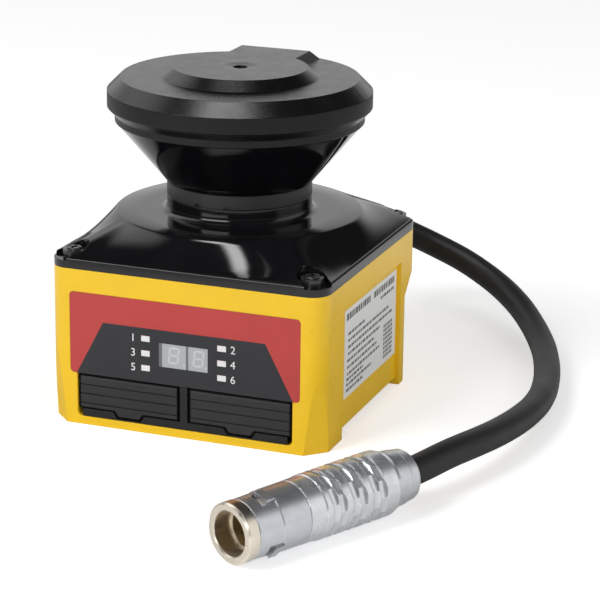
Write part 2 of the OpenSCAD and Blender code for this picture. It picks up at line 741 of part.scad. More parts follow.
module board_screws() color("silver") at_stack() {
    translate([0, 0, power_board_z - 5]) cylinder(r = 1.2, h = board_t + 5.5);
    translate([0, 0, power_board_z + board_t]) cylinder(r = 2.4, h = 1.6);
    translate([0, 0, floor_z + 0.5]) cylinder(r = 1.2, h = main_board_z - floor_z + board_t + 4);
}

module motor_base() color("lightgray") difference() {
    union() {
        translate([0, 0, motor_top_z - motor_flange_t]) cylinder(r = rotor_r - 0.3, h = motor_flange_t);
        translate([0, 0, bell_z + bell_plate + 0.4])
            cylinder(r = motor_tube_r, h = motor_top_z - bell_z - bell_plate - 1);
    }
    translate([0, 0, bell_z]) cylinder(r = bearing_r, h = roof_z - 0.2 - bell_z);
    translate([0, 0, bell_z]) cylinder(r = spindle_r + 0.6, h = roof_z + 0.8 - bell_z);
}

module motor_stator() color("peru") {
    z0 = bell_z + bell_plate + 3.2;
    z1 = bell_top_z - 0.6;
    tube(motor_tube_r + 2, motor_tube_r + 0.02, z0, z1);
    for (k = [0:8]) rotate([0, 0, 40 * k]) {
        block([motor_tube_r + 1.8, -1, z0 + 0.8], [rotor_r - 4.6, 1, z1 - 0.8]);
        block([rotor_r - 4.8, -2.6, z0 + 0.4], [rotor_r - 4, 2.6, z1 - 0.4]);
    }
}

module bearing(z) tube(bearing_r - 0.02, spindle_r + bearing_gap, z, z + bearing_h);

module upper_bearing() color("silver") bearing(roof_z - 0.3 - bearing_h);

module lower_bearing() color("silver") bearing(bell_z + bell_plate + 0.5);

module spindle() color("silver") translate([0, 0, bell_z - 3.6])
    cylinder(r = spindle_r, h = roof_z - 0.2 - bell_z + 3.6);

module rotor_bell() color("dimgray") difference() {
    translate([0, 0, bell_z]) cylinder(r = rotor_r, h = bell_top_z - bell_z);
    translate([0, 0, bell_z + bell_plate]) cylinder(r = rotor_r - 1.4, h = 20);
    translate([0, 0, bell_z - 1]) cylinder(r = spindle_r, h = 20);
}

module rotor_magnet() color("black")
    tube(rotor_r - 1.4, rotor_r - 3, bell_z + bell_plate + 2.6, bell_top_z);

module encoder_disc() color("silver") difference() {
    tube(rotor_r + 5.4, rotor_r, bell_z + 5, bell_z + 5.4);
    for (k = [0:encoder_slots - 1]) rotate([0, 0, k * 360 / encoder_slots])
        translate([rotor_r + 2.6, -0.7, bell_z + 4]) cube([1.8, 1.4, 3]);
}

// Fork that reads the encoder disc, hung from the cap's roof
module encoder_sensor() color("black") difference() {
    block([rotor_r + 2.4, -3, bell_z + 3.4], [rotor_r + 8.4, 3, roof_z - 0.2]);
    block([rotor_r + 1, -4, bell_z + 4.6], [rotor_r + 5.9, 4, bell_z + 5.8]);
}

// Slab under the 45 degree plane through the mirror's centre, from a to b below it
module mirror_slab(a, b) {
    translate([0, 0, mirror_z]) rotate([-45, 0, 0]) block([-30, -40, a], [30, 40, b]);
}

module mirror_holder() color("gray") difference() {
    translate([0, 0, mirror_z - mirror_r]) cylinder(r = mirror_r, h = bell_z - mirror_z + mirror_r);
    mirror_slab(-60, mirror_t);
    translate([0, 0, bell_z - 3.6]) cylinder(r = spindle_r, h = 5);
}

module scan_mirror() color("lightcyan") intersection() {
    translate([0, 0, mirror_z - mirror_r + 0.2])
        cylinder(r = mirror_r - 0.3, h = bell_z - mirror_z + mirror_r - 0.5);
    mirror_slab(0, mirror_t);
}

module optics_barrel() color(satin_black) {
    z0 = power_board_z + board_t;
    tube(barrel_r, barrel_r - barrel_wall, z0, barrel_top_z);
    tube(barrel_r, barrel_r - barrel_wall - 1.6, z0 + 4, z0 + 5.2);
    tube(barrel_r, barrel_r - barrel_wall - 1.2, barrel_top_z - lens_h - 1.2, barrel_top_z - lens_h);
}

module receiver_lens() color([0.8, 0.85, 0.9, 0.5]) translate([0, 0, barrel_top_z - lens_h]) difference() {
    intersection() {
        cylinder(r = barrel_r - barrel_wall - 0.05, h = lens_h);
        translate([0, 0, lens_h - 34]) sphere(r = 34);
    }
    translate([0, 0, -1]) cylinder(r = 4, h = 20);
}

module laser_module() color("goldenrod") {
    translate([0, 0, barrel_top_z - lens_h - 3]) cylinder(r = 5, h = 3);
    translate([0, 0, barrel_top_z - lens_h - eps]) cylinder(r = 3.95, h = lens_h + 2);
}

module receiver_board() color("darkgreen") {
    z0 = power_board_z + board_t + 5.2;
    translate([0, 0, z0]) cylinder(r = barrel_r - barrel_wall - 0.3, h = 1.2);
    block([-2.5, -2.5, z0 + 1.2 - eps], [2.5, 2.5, z0 + 2.6]);
}

module rating_label() color("white")
    block([half_w - pocket_depth, -half_d + foot_len + 4, rating_z],
        [half_w - pocket_depth + 0.15, half_d - foot_len - 1.2, pocket_top - 1.7]);

module cable_gland() color("black") {
    rod_y(gland_r, 0, outlet_z, half_d, relief_y);
    rod_y(gland_thread_r, 0, outlet_z, half_d - wall - 3.2, half_d + eps);
}

module gland_nut() color("dimgray") translate([0, half_d - wall, outlet_z]) rotate([90, 0, 0]) difference() {
    cylinder(r = gland_nut_r, h = 2.8, $fn = 6);
    translate([0, 0, -1]) cylinder(r = gland_thread_r + 0.05, h = 5);
}

// Tapered rubber sleeve with grooves that let it flex
module strain_relief() color("black") translate([0, relief_y, outlet_z]) rotate([-90, 0, 0]) difference() {
    cylinder(r1 = gland_r - 0.6, r2 = cable_d / 2 + 0.6, h = relief_len);
    for (k = [0:4]) translate([0, 0, 4 + 3 * k]) difference() {
        cylinder(r = 8, h = 1);
        translate([0, 0, -1]) cylinder(r = cable_d / 2 + 0.4, h = 3);
    }
}

function unit(v) = v / norm(v);

// Direction of the route at point i
function heading_at(path, i) = let(last = len(path) - 1)
    unit(path[min(i + 1, last)] - path[max(i - 1, 0)]);

// Ring of points across the route at point i
function ring_at(path, i, r, sides) = let(
        along = heading_at(path, i),
        across = unit(cross(along, [0, 0, 1])),
        over = cross(across, along))
    [for (k = [0:sides - 1]) path[i] + r * (cos(360 * k / sides) * across + sin(360 * k / sides) * over)];

// Tube swept along a list of points
module swept_tube(path, r, sides = 12) skin([for (i = [0:len(path) - 1]) ring_at(path, i, r, sides)]);

module cable() color("black") swept_tube(CABLE_ROUTE, cable_d / 2);

// Children in the connector's own frame: +Z from its mouth towards the cable
module in_connector() {
    translate(tip) rotate([0, 0, heading]) rotate([0, 90 - rise, 0]) children();
}

module connector_core() color(chrome) in_connector() rotate_extrude() polygon([[mouth_r, 0.3],
    [mouth_r + 0.3, 0], [7.2, 0], [7.7, 0.5], [7.7, ring_len - 0.2], [7.5, ring_len], [core_r, ring_len],
    [core_r, nut_start], [4.2, nut_start], [4.2, 20.1], [5, 20.1], [5, 5.5], [mouth_r, 5.5]]);

// Spring fingers that lock into the mating socket
module latch_tabs() color("dimgray") in_connector() for (turn = [0, 120, 240]) rotate([0, 0, turn + latch_turn])
    difference() {
        block([0, -latch_w / 2, 8.6], [latch_r, latch_w / 2, 10.9]);
        cylinder(r = core_r + 0.06, h = 20);
    }

module front_shell() color(chrome) in_connector() difference() {
    rotate_extrude() polygon([[shell_bore_r, ring_len + 0.1], [7.4, ring_len + 0.1], [7.6, ring_len + 0.3],
        [7.65, 6.8], [7.75, 10.8], [8, 11.1], [8.05, shell_end - 0.2], [7.9, shell_end],
        [shell_bore_r, shell_end]]);
    for (turn = [0, 120, 240]) rotate([0, 0, turn + latch_turn])
        block([5, -latch_w / 2 - 0.2, 7], [12, latch_w / 2 + 0.2, 11.4]);
}

// Knurled-looking sleeve that is pulled back to release the connector
module grip_sleeve() color(chrome) in_connector() difference() {
    step_z = nut_start - release_travel - 0.3;
    rotate_extrude() polygon([[shell_bore_r, shell_end + 0.05], [7.95, shell_end + 0.05],
        [8.1, shell_end + 0.2], [8.15, 24.5], [8.4, 24.8], [grip_r - 0.15, 28], [grip_r, sleeve_end - 8],
        [grip_r - 0.1, sleeve_end - 1.4], [8, sleeve_end], [nut_r + 0.25, sleeve_end],
        [nut_r + 0.25, step_z], [shell_bore_r, step_z]]);
    for (row = [28.5, 35.2, 41.9], half = [0, 1], k = [0:grip_scallops - 1])
        rotate([0, 0, (k + half / 2) * 360 / grip_scallops + scallop_turn])
            translate([grip_r - scallop_depth + scallop_r, -4, row + (half - 0.5) * scallop_step])
                rotate([-90, 0, 0]) cylinder(r = scallop_r, h = 8);
}

module back_nut() color(chrome) in_connector() rotate_extrude() polygon([[0, nut_start], [nut_r, nut_start],
    [nut_r, sleeve_end + 1.5], [7.2, connector_len - 3.6], [7.05, connector_len - 3.3],
    [6.7, connector_len - 0.5], [6.2, connector_len], [0, connector_len]]);

module pin_insert() color("saddlebrown") in_connector() translate([0, 0, 12]) cylinder(r = 4.95, h = 8);

module contact_pins() color("gold") in_connector() {
    translate([0, 0, 8]) cylinder(r = 0.4, h = 4);
    for (k = [0:7]) rotate([0, 0, 45 * k]) translate([3, 0, 8]) cylinder(r = 0.4, h = 4);
}

base_housing();
cover_gasket();
top_cover();
cover_screws();
window_base_ring();
optical_window();
window_top_ring();
rear_pillar();
top_cap();
front_label();
led_light_pipes();
display_window();
display_digits();
display_board();
display_screws();
hatch_frame();
left_hatch();
right_hatch();
left_hatch_seal();
right_hatch_seal();
usb_socket();
service_socket();
main_board();
board_spacers();
power_board();
board_screws();
motor_base();
motor_stator();
upper_bearing();
lower_bearing();
spindle();
rotor_bell();
rotor_magnet();
encoder_disc();
encoder_sensor();
mirror_holder();
scan_mirror();
optics_barrel();
receiver_lens();
laser_module();
receiver_board();
rating_label();
cable_gland();
gland_nut();
strain_relief();
cable();
connector_core();
latch_tabs();
front_shell();
grip_sleeve();
back_nut();
pin_insert();
contact_pins();
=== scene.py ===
import bmesh
import bpy
import math
from contextlib import contextmanager
from mathutils import Matrix, Vector


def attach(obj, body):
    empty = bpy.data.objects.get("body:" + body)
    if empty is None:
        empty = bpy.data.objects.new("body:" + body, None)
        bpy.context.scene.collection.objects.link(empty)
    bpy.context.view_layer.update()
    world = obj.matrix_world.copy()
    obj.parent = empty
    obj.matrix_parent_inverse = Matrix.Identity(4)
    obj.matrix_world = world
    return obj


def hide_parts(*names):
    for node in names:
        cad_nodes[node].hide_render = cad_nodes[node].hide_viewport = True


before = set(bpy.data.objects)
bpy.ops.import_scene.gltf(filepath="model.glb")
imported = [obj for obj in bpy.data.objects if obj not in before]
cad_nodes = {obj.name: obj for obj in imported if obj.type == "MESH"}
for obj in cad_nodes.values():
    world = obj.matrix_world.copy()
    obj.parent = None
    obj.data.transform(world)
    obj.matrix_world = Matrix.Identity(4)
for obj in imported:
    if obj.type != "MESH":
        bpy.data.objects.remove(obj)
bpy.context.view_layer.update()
scene = bpy.context.scene
MM = 0.001


def link(name, data):
    obj = bpy.data.objects.new(name, data)
    scene.collection.objects.link(obj)
    return obj


# ---------------------------------------------------------------- camera
# Place in metres, direction and roll as solved from the photograph
CAMERA_PLACE = Vector((0.24593, -0.61115, 0.23440))
CAMERA_FORWARD = Vector((-0.33301, 0.89423, -0.29908)).normalized()
CAMERA_ROLL = math.radians(0.73)
FOCAL_LENGTH = 146.65
SENSOR_WIDTH = 36.0

level = CAMERA_FORWARD.cross(Vector((0, 0, 1))).normalized()
upright = level.cross(CAMERA_FORWARD)
camera_x = level * math.cos(CAMERA_ROLL) + upright * math.sin(CAMERA_ROLL)
camera_y = upright * math.cos(CAMERA_ROLL) - level * math.sin(CAMERA_ROLL)
camera = link("camera", bpy.data.cameras.new("camera"))
camera.matrix_world = (Matrix.Translation(CAMERA_PLACE)
                       @ Matrix((camera_x, camera_y, -CAMERA_FORWARD)).transposed().to_4x4())
camera.data.sensor_width = SENSOR_WIDTH
camera.data.lens = FOCAL_LENGTH
camera.data.clip_start = 0.01
camera.data.clip_end = 50.0
scene.camera = camera


# ---------------------------------------------------------------- mesh helpers
@contextmanager
def editing(mesh):
    """Opens a mesh as a bmesh and writes it back at the end of the block."""
    bm = bmesh.new()
    bm.from_mesh(mesh)
    yield bm
    bm.to_mesh(mesh)
    bm.free()


def soften(mesh, angle):
    """Faces that meet at less than the angle, in degrees, shade smoothly."""
    mesh.shade_smooth()
    mesh.set_sharp_from_angle(angle=math.radians(angle))


def ring_solid(name, rings):
    """Closed solid skinned over a loop of rings, which have the same number of points, in mm."""
    count, steps = len(rings), len(rings[0])
    faces = []
    for i in range(count):
        j = (i + 1) % count
        for k in range(steps):
            m = (k + 1) % steps
            faces.append((i * steps + k, i * steps + m, j * steps + m, j * steps + k))
    mesh = bpy.data.meshes.new(name)
    mesh.from_pydata([Vector(v) * MM for ring in rings for v in ring], [], faces)
    with editing(mesh) as bm:
        bmesh.ops.recalc_face_normals(bm, faces=bm.faces)
    return link(name, mesh)


def lathe(name, profile, place, steps):
    """Revolves (radius, height) points, in millimetres, about local Z, then places them."""
    turns = [2 * math.pi * k / steps for k in range(steps)]
    return ring_solid(name, [[place @ Vector((r * math.cos(a), r * math.sin(a), z)) for a in turns]
                             for r, z in profile])


def curve_to_mesh(name, curve, place):
    """Turns a flat curve drawn in millimetres into a mesh object at its place."""
    temp = link(name + "_temp", curve)
    graph = bpy.context.evaluated_depsgraph_get()
    mesh = bpy.data.meshes.new_from_object(temp.evaluated_get(graph))
    bpy.data.objects.remove(temp)
    bpy.data.curves.remove(curve)
    mesh.name = name
    for v in mesh.vertices:
        v.co = (place @ v.co) * MM
    with editing(mesh) as bm:
        bmesh.ops.remove_doubles(bm, verts=bm.verts, dist=1e-7)
    return link(name, mesh)


def flat_art(name, loops, place, thickness):
    """Thin printed piece from closed 2-D loops in millimetres; a loop inside another is a hole."""
    curve = bpy.data.curves.new(name, "CURVE")
    curve.dimensions = "2D"
    curve.fill_mode = "BOTH"
    curve.extrude = thickness / 2
    for loop in loops:
        spline = curve.splines.new("POLY")
        spline.points.add(len(loop) - 1)
        for point, (x, y) in zip(spline.points, loop):
            point.co = (x, y, 0, 1)
        spline.use_cyclic_u = True
    return curve_to_mesh(name, curve, place)


def rect(x0, y0, x1, y1):
    return [(x0, y0), (x1, y0), (x1, y1), (x0, y1)]


# ---------------------------------------------------------------- shader helpers
def empty_tree(block):
    """Node tree of a material or world, emptied."""
    block.use_nodes = True
    block.node_tree.nodes.clear()
    return block.node_tree


def node(tree, kind, inputs=None, **settings):
    """New node: settings first, then each input linked to a socket or set to a value."""
    made = tree.nodes.new(kind)
    for name, value in settings.items():
        setattr(made, name, value)
    for key, value in (inputs or {}).items():
        if isinstance(value, bpy.types.NodeSocket):
            tree.links.new(value, made.inputs[key])
        else:
            made.inputs[key].default_value = value
    return made


def spread(tree, value, low, high, low_at, high_at, curve="LINEAR"):
    """Maps a value to low..high between low_at and high_at, and holds it beyond them."""
    return node(tree, "ShaderNodeMapRange",
                {"Value": value, "From Min": low_at, "From Max": high_at, "To Min": low,
                 "To Max": high}, interpolation_type=curve).outputs["Result"]


def ramp(tree, value, zero_at, one_at):
    """Smooth step from 0 to 1 between two values."""
    return spread(tree, value, 0.0, 1.0, zero_at, one_at, "SMOOTHSTEP")


def calc(tree, operation, *values):
    return node(tree, "ShaderNodeMath", dict(enumerate(values)), operation=operation).outputs[0]


def product(tree, *values):
    result = values[0]
    for value in values[1:]:
        result = calc(tree, "MULTIPLY", result, value)
    return result


def mix(tree, kind, factor, a, b):
    """Blend of a and b, kind RGBA for colours and FLOAT for values."""
    return node(tree, "ShaderNodeMix", {"Factor": factor, "A": a, "B": b},
                data_type=kind).outputs["Result"]


def noise_at(tree, scale, detail, roughness=0.5):
    """Noise in object space: scale counts features per metre."""
    coord = node(tree, "ShaderNodeTexCoord").outputs["Object"]
    return node(tree, "ShaderNodeTexNoise", {"Vector": coord, "Scale": scale, "Detail": detail,
                                             "Roughness": roughness}).outputs["Fac"]


# Detail of the noises for colour, roughness and grain; range in which most of a noise lies
COLOR_DETAIL, ROUGH_DETAIL, GRAIN_DETAIL = 4.0, 5.0, 2.0
ROUGH_SCALE, ROUGH_NOISE = 2.3, 0.6
NOISE_LOW, NOISE_HIGH = 0.3, 0.7
# Painted shade for narrow gaps: the near-black colour they darken to, and the span of ambient
# occlusion over which it fades in
PAINTED_GAP_SHADE = (0.001, 0.001, 0.001, 1.0)
PAINTED_SHADE_RANGE = 0.5, 0.92


def surface(name, color, rough, metal=0.0, grain=None, vary=0.05, vary_scale=90.0, rough_vary=0.03,
            edge=0.0, specular=0.5, crease=0.0, transmission=0.0, alpha=1.0):
    """Procedural finish whose colour and roughness vary gently.

    grain is (bumps per metre, depth in mm), edge the radius in mm to which edges look rounded,
    crease the reach in mm within which narrow gaps darken with painted shade, as ambient occlusion
    is mixed into the base colour.
    """
    material = bpy.data.materials.new(name)
    tree = empty_tree(material)
    dark = (*(c * (1 - vary) for c in color), 1.0)
    light = (*(min(1.0, c * (1 + vary)) for c in color), 1.0)
    patches = noise_at(tree, vary_scale, COLOR_DETAIL)
    shade = mix(tree, "RGBA", spread(tree, patches, 0.0, 1.0, NOISE_LOW, NOISE_HIGH), dark, light)
    # Painted shade: where ambient occlusion finds close surfaces, the colour darkens towards near
    # black
    if crease:
        gaps = node(tree, "ShaderNodeAmbientOcclusion", {"Distance": crease * MM}, samples=8)
        open_to_air = spread(tree, gaps.outputs["AO"], 0.0, 1.0, *PAINTED_SHADE_RANGE)
        shade = mix(tree, "RGBA", open_to_air, PAINTED_GAP_SHADE, shade)
    smear = noise_at(tree, vary_scale * ROUGH_SCALE, ROUGH_DETAIL, ROUGH_NOISE)
    inputs = {
        "Base Color": shade, "Metallic": metal, "Specular IOR Level": specular,
        "Transmission Weight": transmission, "Alpha": alpha,
        "Roughness": spread(tree, smear, max(0.0, rough - rough_vary), rough + rough_vary,
                            NOISE_LOW, NOISE_HIGH),
    }
    if edge:
        inputs["Normal"] = node(tree, "ShaderNodeBevel", {"Radius": edge * MM},
                                samples=4).outputs["Normal"]
    if grain:
        bumps = {"Height": noise_at(tree, grain[0], GRAIN_DETAIL), "Distance": grain[1] * MM,
                 "Strength": 1.0}
        if edge:
            bumps["Normal"] = inputs["Normal"]
        inputs["Normal"] = node(tree, "ShaderNodeBump", bumps).outputs["Normal"]
    shader = node(tree, "ShaderNodeBsdfPrincipled", inputs)
    node(tree, "ShaderNodeOutputMaterial", {"Surface": shader.outputs["BSDF"]})
    return material


# ---------------------------------------------------------------- materials
# Paint and plastics
YELLOW = surface("yellow_paint", (0.93, 0.585, 0.016), 0.3, grain=(2600, 0.008), vary=0.03,
                 edge=0.35)
GLOSS = surface("gloss_black", (0.006, 0.006, 0.007), 0.08, grain=(2400, 0.007), vary=0.2,
                edge=0.15)
RING = surface("ring_grey", (0.019, 0.019, 0.02), 0.45, grain=(3000, 0.01), vary=0.1, edge=0.15)
WINDOW = surface("window_black", (0.004, 0.004, 0.005), 0.03, grain=(120, 0.004), vary=0.2,
                 rough_vary=0.015)
SATIN = surface("satin_black", (0.005, 0.005, 0.0053), 0.25, grain=(3000, 0.035), vary=0.12,
                edge=0.3)
# Hatches and black plastic get painted shade in their narrow gaps (crease, in mm)
HATCH = surface("hatch_charcoal", (0.025, 0.025, 0.0265), 0.6, grain=(3000, 0.02), vary=0.08,
                edge=0.12, crease=2.2)
BLACK_PLASTIC = surface("black_plastic", (0.013, 0.013, 0.014), 0.45, grain=(2600, 0.015),
                        vary=0.12, edge=0.15, crease=2.2)
RUBBER = surface("black_rubber", (0.014, 0.014, 0.015), 0.6, grain=(3200, 0.02), vary=0.15)
# Near-black painted shadow for the strips laid along the hatches' gaps
GAP_SHADOW = surface("painted_gap_shadow", (0.002, 0.002, 0.002), 0.6, grain=(3200, 0.004), vary=0.15,
               specular=0.1)
JACKET = surface("cable_jacket", (0.011, 0.011, 0.0115), 0.5, grain=(2400, 0.02), vary=0.12,
                 vary_scale=60)
IVORY = surface("ivory_plastic", (0.72, 0.67, 0.5), 0.4, grain=(2500, 0.008), vary=0.04)
INSERT = surface("olive_insert", (0.1, 0.07, 0.02), 0.4, grain=(3000, 0.01), vary=0.1)
BOARD = surface("board_green", (0.015, 0.12, 0.045), 0.35, grain=(1800, 0.01), vary=0.15,
                vary_scale=400)
# Labels, print, lights and display
RED = surface("red_label", (0.5, 0.055, 0.05), 0.5, grain=(5000, 0.004), vary=0.04)
LABEL_WHITE = surface("label_white", (0.84, 0.845, 0.84), 0.42, grain=(4000, 0.004), vary=0.02)
DARK_PANEL = surface("panel_print", (0.027, 0.028, 0.032), 0.6, grain=(5000, 0.004), vary=0.05)
PRINT_WHITE = surface("print_white", (0.84, 0.84, 0.84), 0.5, grain=(5000, 0.003), vary=0.03)
PRINT_DARK = surface("print_dark", (0.16, 0.16, 0.165), 0.6, grain=(5000, 0.003), vary=0.1,
                     vary_scale=900)
PIPE = surface("light_pipe", (0.86, 0.86, 0.86), 0.35, grain=(3000, 0.004), vary=0.03)
DIGIT_FACE = surface("digit_face", (0.44, 0.46, 0.48), 0.4, grain=(2500, 0.004), vary=0.06)
DIGIT_GAP = surface("digit_gap", (0.16, 0.165, 0.17), 0.5, grain=(2500, 0.004), vary=0.06)
SEGMENT = surface("digit_segment", (0.6, 0.61, 0.62), 0.4, grain=(2500, 0.004), vary=0.04)
SMOKED = surface("smoked_window", (0.35, 0.36, 0.37), 0.06, grain=(300, 0.002), vary=0.03,
                 rough_vary=0.02, alpha=0.28)
# Metals
CHROME = surface("satin_chrome", (0.7, 0.72, 0.755), 0.34, metal=0.88, grain=(2600, 0.01),
                 vary_scale=240, rough_vary=0.06, edge=0.1)
KNURL = surface("knurled_chrome", (0.8, 0.82, 0.85), 0.3, metal=0.82, grain=(2600, 0.01),
                vary_scale=240, rough_vary=0.06, edge=0.1)
NICKEL = surface("bright_nickel", (0.9, 0.82, 0.7), 0.3, metal=1.0, grain=(2600, 0.004),
                 vary_scale=240, rough_vary=0.04, edge=0.1)
GOLD = surface("gold_contact", (0.8, 0.55, 0.2), 0.2, metal=1.0, grain=(4000, 0.004))
ZINC = surface("zinc_steel", (0.6, 0.6, 0.6), 0.28, metal=1.0, grain=(4000, 0.006), vary=0.08,
               edge=0.08)
BLACK_STEEL = surface("black_steel", (0.05, 0.05, 0.052), 0.2, metal=0.6, grain=(3000, 0.006),
                      vary=0.15, edge=0.1)
DARK_STEEL = surface("dark_steel", (0.12, 0.12, 0.125), 0.3, metal=0.9, grain=(3500, 0.008),
                     vary=0.12)
BEARING = surface("ground_steel", (0.62, 0.62, 0.63), 0.15, metal=1.0, grain=(5000, 0.004))
ALUMINIUM = surface("machined_aluminium", (0.68, 0.69, 0.7), 0.32, metal=1.0, grain=(3000, 0.01),
                    vary=0.06)
BRASS = surface("turned_brass", (0.72, 0.5, 0.2), 0.25, metal=1.0, grain=(3500, 0.006), vary=0.08)
COPPER = surface("copper_winding", (0.5, 0.18, 0.06), 0.35, metal=0.7, grain=(5200, 0.05), vary=0.2,
                 vary_scale=1500)
MAGNET = surface("sintered_magnet", (0.045, 0.045, 0.05), 0.55, metal=0.4, grain=(3500, 0.02),
                 vary=0.15)
# Optics
MIRROR = surface("mirror_glass", (0.9, 0.91, 0.92), 0.02, metal=1.0, grain=(200, 0.001), vary=0.01,
                 rough_vary=0.01)
LENS = surface("lens_glass", (0.85, 0.9, 0.93), 0.03, grain=(200, 0.002), vary=0.01,
               rough_vary=0.01, transmission=0.9)

LOOKS = {
    "base_housing": YELLOW, "cover_gasket": RUBBER, "top_cover": GLOSS, "cover_screws": BLACK_STEEL,
    "window_base_ring": RING, "optical_window": WINDOW, "window_top_ring": SATIN,
    "rear_pillar": SATIN, "top_cap": SATIN, "front_label": RED, "led_light_pipes": PIPE,
    "display_window": SMOKED, "display_digits": DIGIT_FACE, "display_board": BOARD,
    "display_screws": ZINC, "hatch_frame": BLACK_PLASTIC, "left_hatch": HATCH, "right_hatch": HATCH,
    "left_hatch_seal": RUBBER, "right_hatch_seal": RUBBER, "usb_socket": ZINC,
    "service_socket": IVORY, "main_board": BOARD, "board_spacers": BRASS, "power_board": BOARD,
    "board_screws": ZINC, "motor_base": ALUMINIUM, "motor_stator": COPPER, "upper_bearing": BEARING,
    "lower_bearing": BEARING, "spindle": BEARING, "rotor_bell": DARK_STEEL, "rotor_magnet": MAGNET,
    "encoder_disc": BEARING, "encoder_sensor": BLACK_PLASTIC, "mirror_holder": ALUMINIUM,
    "scan_mirror": MIRROR, "optics_barrel": BLACK_PLASTIC, "receiver_lens": LENS,
    "laser_module": BRASS, "receiver_board": BOARD, "rating_label": LABEL_WHITE,
    "cable_gland": BLACK_PLASTIC, "gland_nut": DARK_STEEL, "strain_relief": RUBBER, "cable": JACKET,
    "connector_core": NICKEL, "latch_tabs": CHROME, "front_shell": CHROME, "grip_sleeve": KNURL,
    "back_nut": CHROME, "pin_insert": INSERT, "contact_pins": GOLD,
}


def dress(obj, material):
    obj.data.materials.clear()
    obj.data.materials.append(material)


for name, obj in cad_nodes.items():
    for slot in obj.material_slots:
        slot.link = "OBJECT"
        slot.material = LOOKS[name]

# ---------------------------------------------------------------- cable
# The connector's axis, and the cable's centre line from the rear wall to the connector, in mm
HEADING = math.radians(63)
RISE = math.radians(0.45)
AXIS = Vector((math.cos(RISE) * math.cos(HEADING), math.cos(RISE) * math.sin(HEADING),
               math.sin(RISE)))
CABLE_END = Vector((70.3, -63.5, 8.75))
CABLE_R = 3.85
CABLE_ROUTE = [
    (0, 62.2, 37.8), (0, 67.2, 37.8), (2.9, 79.9, 35.0), (8.3, 88.4, 31.0), (16.1, 94.5, 26.2),
    (26.5, 97.7, 21.3), (37.8, 97.2, 16.9), (49.1, 92.8, 12.4), (58.2, 85.3, 8.9),
    (65.6, 75.4, 6.2), (71.9, 63.5, 4.6), (76.3, 52.2, 4), (80, 39.7, 3.9), (82.8, 27.3, 4.2),
    (84.7, 15.1, 4.9), (85.4, 3.2, 5.7), (85, -9.2, 6.7), (83.7, -21, 7.7), (81.4, -32.5, 8.6),
    (77.2, -46.6, 9.3), CABLE_END + 5 * AXIS, CABLE_END,
]
POINTS_PER_SPAN = 8


def smooth_path(points):
    """Points along a Catmull-Rom curve through the given ones."""
    pts = [Vector(p) for p in points]
    pts = [2 * pts[0] - pts[1]] + pts + [2 * pts[-1] - pts[-2]]
    out = []
    for i in range(1, len(pts) - 2):
        p0, p1, p2, p3 = pts[i - 1:i + 3]
        for k in range(POINTS_PER_SPAN):
            t = k / POINTS_PER_SPAN
            out.append(0.5 * (2 * p1 + (p2 - p0) * t + (2 * p0 - 5 * p1 + 4 * p2 - p3) * t * t
                              + (3 * p1 - p0 - 3 * p2 + p3) * t ** 3))
    out.append(pts[-2])
    return out


cable_line = smooth_path(CABLE_ROUTE)
cable_curve = bpy.data.curves.new("cable_jacket", "CURVE")
cable_curve.dimensions = "3D"
cable_curve.bevel_depth = CABLE_R * MM
cable_curve.bevel_resolution = 8
cable_curve.use_fill_caps = True
spline = cable_curve.splines.new("POLY")
spline.points.add(len(cable_line) - 1)
for point, p in zip(spline.points, cable_line):
    point.co = (*(p * MM), 1)
spline.use_smooth = True
cable = link("cable_jacket", cable_curve)
dress(cable, JACKET)
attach(cable, "housing")
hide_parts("cable")

# Strain relief: tapered sleeve with five flexing grooves
RELIEF_PLACE = Matrix.Translation((0, 42.2, 37.8)) @ Matrix.Rotation(math.radians(-90), 4, "X")
RELIEF_LENGTH = 20
RELIEF_R, RELIEF_END_R, RELIEF_BORE_R = 5.3, 4.25, 0.5
GROOVES, GROOVE_START, GROOVE_PITCH = 5, 4, 3
GROOVE_R, GROOVE_LIP = 4.15, 0.25


def relief_radius(z):
    return RELIEF_R - (RELIEF_R - RELIEF_END_R) * z / RELIEF_LENGTH


profile = [(RELIEF_BORE_R, 0), (4.9, 0), (RELIEF_R, 0.4)]
for k in range(GROOVES):
    z = GROOVE_START + GROOVE_PITCH * k
    profile += [(relief_radius(z - 0.25), z - 0.25),
                (relief_radius(z + 0.05) - GROOVE_LIP, z + 0.05),
                (GROOVE_R, z + 0.1), (GROOVE_R, z + 0.9),
                (relief_radius(z + 0.95) - GROOVE_LIP, z + 0.95),
                (relief_radius(z + 1.25), z + 1.25)]
profile += [(4.3, 19.4), (4.05, RELIEF_LENGTH), (RELIEF_BORE_R, RELIEF_LENGTH)]
relief = lathe("strain_relief_sleeve", profile, RELIEF_PLACE, 64)
soften(relief.data, 30)
dress(relief, RUBBER)
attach(relief, "housing")
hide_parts("strain_relief")

# ---------------------------------------------------------------- top cover
# Heights and radii in mm: band with a rounded top edge, slope, plateau, flared neck, bore
HALF = 40.0
COVER_Z, EDGE_Z, EDGE_R = 44.2, 46.6, 0.7
SLOPE_Z, SLOPE_RISE, SLOPE_POWER, SLOPE_END, SLOPE_INSET = 47.29, 7.55, 1.02, 0.965, 0.55
SLOPE_RINGS = 13
PLATEAU_R, PLATEAU_Z = 34.3, 55
FLARE_OUT_R, FLARE_R = 22.0, 1.8
NECK_R, NECK_TOP_Z, BORE_R = 20.2, 59.5, 17.4
CEILING_R, CEILING_Z, RIM_R = 30.9, 52.4, 36.4
REAR_CORNER_R, FRONT_CORNER_R = 7.0, 5.5
# Points round each corner and along each side; a wider angle between points is a side
CORNER_STEPS, SIDE_STEPS, SIDE_ANGLE = 14, 40, 0.5
# How much the slope is hollowed (+) or filled (-) towards the corners, which start at CORNER_FROM
REAR_HOLLOW, FRONT_HOLLOW = 0.1, -0.2
CORNER_FROM, CORNER_SPAN = 41, 9
# The slope starts this far towards the circle, so that it leaves the band's edge everywhere
LEAST_BLEND = 0.012


